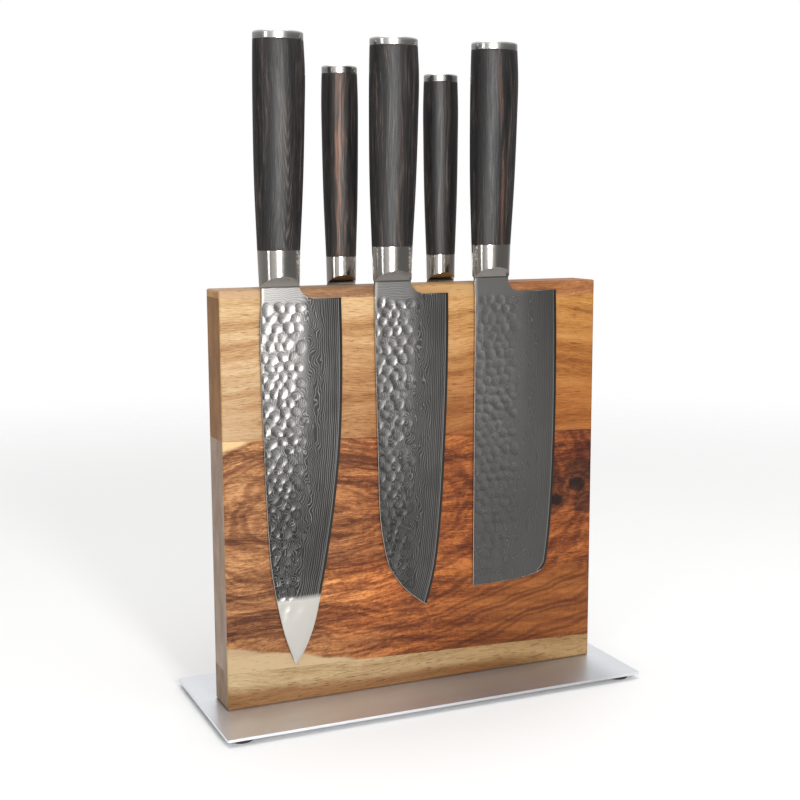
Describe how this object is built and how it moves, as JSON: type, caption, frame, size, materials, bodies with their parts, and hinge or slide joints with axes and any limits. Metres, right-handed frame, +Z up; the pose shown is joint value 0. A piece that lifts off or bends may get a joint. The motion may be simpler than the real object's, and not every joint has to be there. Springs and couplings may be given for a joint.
{
  "type": "magnetic knife block with knives",
  "caption": "Double-sided magnetic knife block: upright edge-glued wood board on a steel base plate, holding hammered kitchen knives with dark oval handles and steel caps.",
  "frame": {"origin": "middle of the footprint, at the underside of the feet", "axes": "+Z up, +X to the right along the board, -Y out of the front face that holds the three large knives"},
  "size_m": [0.251, 0.101, 0.366],
  "materials": {
    "plate_steel": "fine brushed stainless, warm grey",
    "screw_steel": "plain steel",
    "keeper_steel": "mild steel strip",
    "brass": "turned brass",
    "magnet": "dark sintered ferrite",
    "foot_rubber": "matte black",
    "acacia_sapwood": "satin oiled acacia, pale with olive streaks",
    "acacia_heartwood": "satin oiled acacia, red-brown figured heartwood",
    "acacia_light": "satin oiled acacia, light tan to orange",
    "acacia_top": "satin oiled acacia, tan and red-brown",
    "blade_steel": "hammered near the spine, layered pattern towards the edge",
    "bolster_steel": "polished",
    "cap_steel": "fine brushed",
    "handle_wood": "dark laminated wood with red-brown streaks, satin lacquer"
  },
  "bodies": {
    "stand": {"base_plate": "plate_steel", "foot_front_left": "foot_rubber", "foot_front_right": "foot_rubber", "foot_back_left": "foot_rubber", "foot_back_right": "foot_rubber", "base_screws": "screw_steel", "threaded_inserts": "brass", "bottom_strip": "acacia_sapwood", "lower_plank": "acacia_heartwood", "upper_plank": "acacia_light", "top_strip": "acacia_top", "lower_front_magnets": "magnet", "lower_back_magnets": "magnet", "lower_keeper": "keeper_steel", "upper_front_magnets": "magnet", "upper_back_magnets": "magnet", "upper_keeper": "keeper_steel"},
    "chef_knife": {"chef_blade": "blade_steel", "chef_bolster": "bolster_steel", "chef_handle": "handle_wood", "chef_cap": "cap_steel"},
    "santoku_knife": {"santoku_blade": "blade_steel", "santoku_bolster": "bolster_steel", "santoku_handle": "handle_wood", "santoku_cap": "cap_steel"},
    "nakiri_knife": {"nakiri_blade": "blade_steel", "nakiri_bolster": "bolster_steel", "nakiri_handle": "handle_wood", "nakiri_cap": "cap_steel"},
    "utility_knife": {"utility_blade": "blade_steel", "utility_bolster": "bolster_steel", "utility_handle": "handle_wood", "utility_cap": "cap_steel"},
    "paring_knife": {"paring_blade": "blade_steel", "paring_bolster": "bolster_steel", "paring_handle": "handle_wood", "paring_cap": "cap_steel"}
  },
  "joints": [
    {"name": "chef_pull_off", "type": "slide", "parent": "stand", "child": "chef_knife", "axis": [0, -1, 0], "range_m": [0, 0.15]},
    {"name": "santoku_pull_off", "type": "slide", "parent": "stand", "child": "santoku_knife", "axis": [0, -1, 0], "range_m": [0, 0.15]},
    {"name": "nakiri_pull_off", "type": "slide", "parent": "stand", "child": "nakiri_knife", "axis": [0, -1, 0], "range_m": [0, 0.15]},
    {"name": "utility_pull_off", "type": "slide", "parent": "stand", "child": "utility_knife", "axis": [0, 1, 0], "range_m": [0, 0.15]},
    {"name": "paring_pull_off", "type": "slide", "parent": "stand", "child": "paring_knife", "axis": [0, 1, 0], "range_m": [0, 0.15]}
  ]
}
